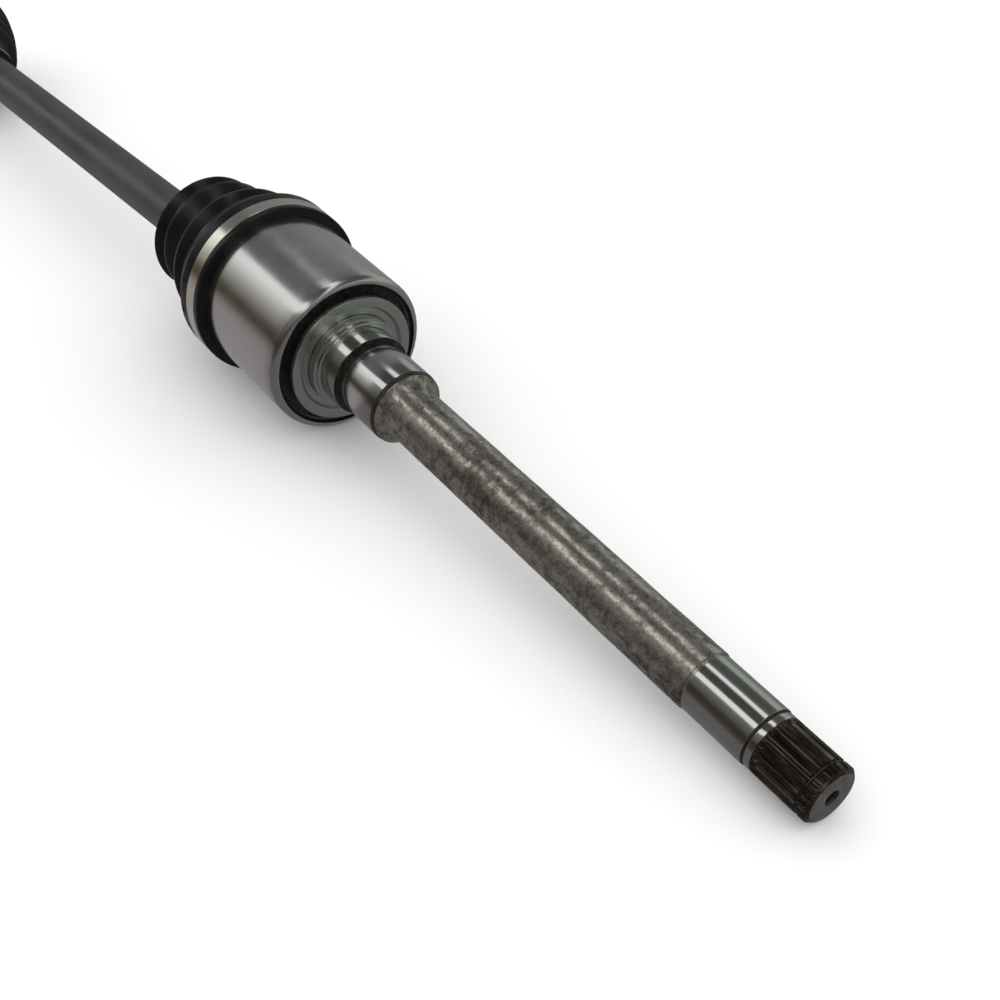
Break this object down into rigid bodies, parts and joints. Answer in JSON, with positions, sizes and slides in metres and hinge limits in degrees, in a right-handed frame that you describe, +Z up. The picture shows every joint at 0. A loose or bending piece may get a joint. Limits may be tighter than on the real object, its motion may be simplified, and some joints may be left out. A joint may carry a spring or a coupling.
{
  "type": "cv axle",
  "caption": "Car drive axle: a long splined stub with a plunging roller joint in a plated can, a bar, rubber boots and a ball joint with the wheel's stub.",
  "frame": {"origin": "on the surface that the axle lies on, under the middle of its length", "axes": "+X along the axle towards the long splined stub, +Z up"},
  "size_m": [1.0816, 0.1004, 0.1033],
  "materials": {
    "forged_steel": "forged grey-brown steel with ground seats",
    "zinc_plate": "bright zinc plate",
    "painted_bar": "satin black paint",
    "black_rubber": "satin",
    "band_steel": "bright stainless band",
    "spring_steel": "black oxide",
    "bearing_steel": "ground and polished"
  },
  "bodies": {
    "tulip_shaft": {"tulip_shaft": "forged_steel", "joint_can": "zinc_plate", "end_disc": "zinc_plate", "spline_clip": "spring_steel", "inboard_large_band": "band_steel"},
    "inboard_boot": {"inboard_boot": "black_rubber"},
    "axle_bar": {"axle_bar": "painted_bar", "spider": "bearing_steel", "spider_clip": "spring_steel", "roller_clip_1": "spring_steel", "roller_clip_2": "spring_steel", "roller_clip_3": "spring_steel", "inner_race": "bearing_steel", "race_clip": "spring_steel", "inboard_small_band": "band_steel", "outboard_small_band": "band_steel"},
    "roller_1": {"roller_1": "bearing_steel", "needles_1": "bearing_steel"},
    "roller_2": {"roller_2": "bearing_steel", "needles_2": "bearing_steel"},
    "roller_3": {"roller_3": "bearing_steel", "needles_3": "bearing_steel"},
    "ball_cage": {"ball_cage": "bearing_steel", "ball_1": "bearing_steel", "ball_2": "bearing_steel", "ball_3": "bearing_steel", "ball_4": "bearing_steel", "ball_5": "bearing_steel", "ball_6": "bearing_steel"},
    "wheel_bell": {"wheel_bell": "forged_steel", "outboard_boot": "black_rubber", "outboard_large_band": "band_steel"}
  },
  "joints": [
    {"name": "inboard_plunge", "type": "slide", "parent": "tulip_shaft", "child": "inboard_boot", "axis": [0.9961, 0, -0.088], "range_m": [-0.017, 0.017], "deforming": ["inboard_boot"]},
    {"name": "inboard_bend", "type": "hinge", "parent": "inboard_boot", "child": "axle_bar", "pos_m": [0.14123, 0, 0.04909], "axis": [0, 1, 0], "range_deg": [-14.92, 25.08], "deforming": ["inboard_boot"]},
    {"name": "roller_spin_1", "type": "hinge", "parent": "axle_bar", "child": "roller_1", "pos_m": [0.14123, 0, 0.04909], "axis": [-0.0006, 0, 1], "range_deg": [-65.94, 65.94]},
    {"name": "roller_spin_2", "type": "hinge", "parent": "axle_bar", "child": "roller_2", "pos_m": [0.14123, 0, 0.04909], "axis": [0.0003, 0.866, -0.5], "range_deg": [-65.94, 65.94]},
    {"name": "roller_spin_3", "type": "hinge", "parent": "axle_bar", "child": "roller_3", "pos_m": [0.14123, 0, 0.04909], "axis": [0.0003, -0.866, -0.5], "range_deg": [-65.94, 65.94]},
    {"name": "outboard_bend", "type": "hinge", "parent": "axle_bar", "child": "wheel_bell", "pos_m": [-0.42877, 0, 0.04876], "axis": [-0.0006, 0, 1], "range_deg": [-45, 45], "deforming": ["outboard_boot"]},
    {"name": "cage_swing", "type": "hinge", "parent": "axle_bar", "child": "ball_cage", "pos_m": [-0.42877, 0, 0.04876], "axis": [-0.0006, 0, 1], "range_deg": [-22.5, 22.5]}
  ],
  "couplings": [
    {"joint": "roller_spin_1", "follows": "inboard_plunge", "rad_per_m": 66.667},
    {"joint": "roller_spin_2", "follows": "inboard_plunge", "rad_per_m": 66.667},
    {"joint": "roller_spin_3", "follows": "inboard_plunge", "rad_per_m": 66.667},
    {"joint": "cage_swing", "follows": "outboard_bend", "ratio": 0.5}
  ]
}
